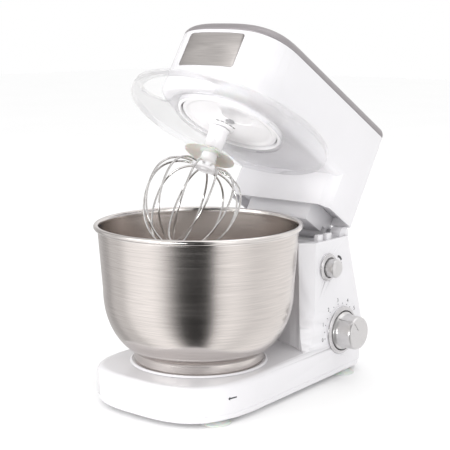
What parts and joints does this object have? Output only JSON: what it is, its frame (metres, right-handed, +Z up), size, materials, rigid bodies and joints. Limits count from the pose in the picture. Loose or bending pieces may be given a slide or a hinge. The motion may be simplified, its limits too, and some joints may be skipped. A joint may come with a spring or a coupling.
{
  "type": "stand mixer",
  "caption": "Tilt-head stand mixer: white stand and head, steel bowl, clear splash guard with a feed opening, planetary wire whisk, speed knob and head release button.",
  "frame": {"origin": "on the surface the mixer stands on, under the middle of its box with the head raised", "axes": "+Z up, -Y towards the nose of the head, +X towards the side with the speed knob and the release button"},
  "size_m": [0.217, 0.3465, 0.3863],
  "materials": {
    "white_body": "gloss white moulded plastic",
    "silver_cover": "silver-grey metallic plastic",
    "satin_silver": "satin silver plated plastic",
    "brushed_steel": "brushed stainless steel",
    "bright_wire": "polished stainless wire",
    "clear_guard": "clear polycarbonate",
    "soft_white": "translucent off-white silicone",
    "black_plastic": "black plastic or rubber",
    "machined_steel": "machined steel",
    "winding": "lacquered copper winding",
    "bronze": "sintered bronze",
    "board": "circuit board"
  },
  "bodies": {
    "stand": {"stand_housing": "white_body", "bottom_cover": "white_body", "foot_front_right": "soft_white", "foot_front_left": "soft_white", "foot_rear_right": "soft_white", "foot_rear_left": "soft_white", "bowl_seat": "white_body", "column_cap": "white_body", "hinge_pin": "machined_steel", "dial_ring": "satin_silver", "release_ring": "satin_silver", "speed_switch": "black_plastic", "control_board": "board", "cord_gland": "black_plastic", "base_screw_1": "machined_steel", "base_screw_2": "machined_steel", "base_screw_3": "machined_steel", "base_screw_4": "machined_steel", "release_spring": "machined_steel", "latch_pin": "machined_steel"},
    "head": {"head_shell": "white_body", "front_plate": "brushed_steel", "top_cover": "silver_cover", "hinge_block": "white_body", "gearbox_housing": "white_body", "main_bush": "bronze", "ring_gear": "machined_steel", "stator_core": "machined_steel", "stator_winding": "winding", "motor_end_plate": "machined_steel", "motor_top_plate": "machined_steel", "drive_belt": "black_plastic"},
    "rotor": {"armature": "winding", "motor_pulley": "machined_steel", "cooling_fan": "black_plastic"},
    "carrier": {"planet_disc": "white_body", "main_shaft": "machined_steel", "driven_pulley": "black_plastic"},
    "tool": {"planet_gear": "bronze", "tool_shaft": "machined_steel", "tool_socket": "white_body", "whisk_hub": "white_body", "dough_shield": "soft_white", "whisk_loop_1": "bright_wire", "whisk_loop_2": "bright_wire", "whisk_loop_3": "bright_wire", "whisk_loop_4": "bright_wire", "whisk_loop_5": "bright_wire", "whisk_loop_6": "bright_wire"},
    "guard": {"splash_guard": "clear_guard"},
    "bowl_body": {"bowl": "brushed_steel", "bowl_foot": "brushed_steel"},
    "dial": {"speed_knob": "satin_silver", "switch_shaft": "machined_steel"},
    "button": {"release_button": "satin_silver"},
    "latch": {"latch_lever": "machined_steel"}
  },
  "joints": [
    {"name": "head_tilt", "type": "hinge", "parent": "stand", "child": "head", "pos_m": [0, 0.10408, 0.1565], "axis": [1, 0, 0], "range_deg": [0, 32.5]},
    {"name": "tool_drive", "type": "hinge", "parent": "head", "child": "carrier", "pos_m": [0, -0.04013, 0.24838], "axis": [0, 0.5373, 0.8434], "continuous": true},
    {"name": "planet_spin", "type": "hinge", "parent": "carrier", "child": "tool", "pos_m": [-0.0229, -0.02807, 0.24069], "axis": [0, 0.5373, 0.8434], "continuous": true},
    {"name": "motor_spin", "type": "hinge", "parent": "head", "child": "rotor", "pos_m": [0, 0.05939, 0.18498], "axis": [0, 0.5373, 0.8434], "continuous": true},
    {"name": "guard_twist", "type": "hinge", "parent": "head", "child": "guard", "pos_m": [0, -0.01649, 0.28549], "axis": [0, 0.5373, 0.8434], "range_deg": [0, 20]},
    {"name": "bowl_twist", "type": "hinge", "parent": "stand", "child": "bowl_body", "pos_m": [0, -0.06692, 0.0425], "axis": [0, 0, 1], "range_deg": [0, 25]},
    {"name": "speed_dial", "type": "hinge", "parent": "stand", "child": "dial", "pos_m": [0.07531, 0.08489, 0.054], "axis": [1, 0, 0], "range_deg": [-131, 92]},
    {"name": "release_press", "type": "slide", "parent": "stand", "child": "button", "axis": [-1, 0, 0], "range_m": [0, 0.006], "stiffness_N_per_m": 800, "springref_m": -0.002, "deforming": ["release_spring"]},
    {"name": "latch_rock", "type": "hinge", "parent": "stand", "child": "latch", "pos_m": [0.0531, 0.07189, 0.142], "axis": [0, 1, 0], "range_deg": [0, 25]}
  ],
  "couplings": [
    {"joint": "planet_spin", "follows": "tool_drive", "ratio": -3.25},
    {"joint": "motor_spin", "follows": "tool_drive", "ratio": 4},
    {"joint": "latch_rock", "follows": "release_press", "rad_per_m": 62.5}
  ]
}
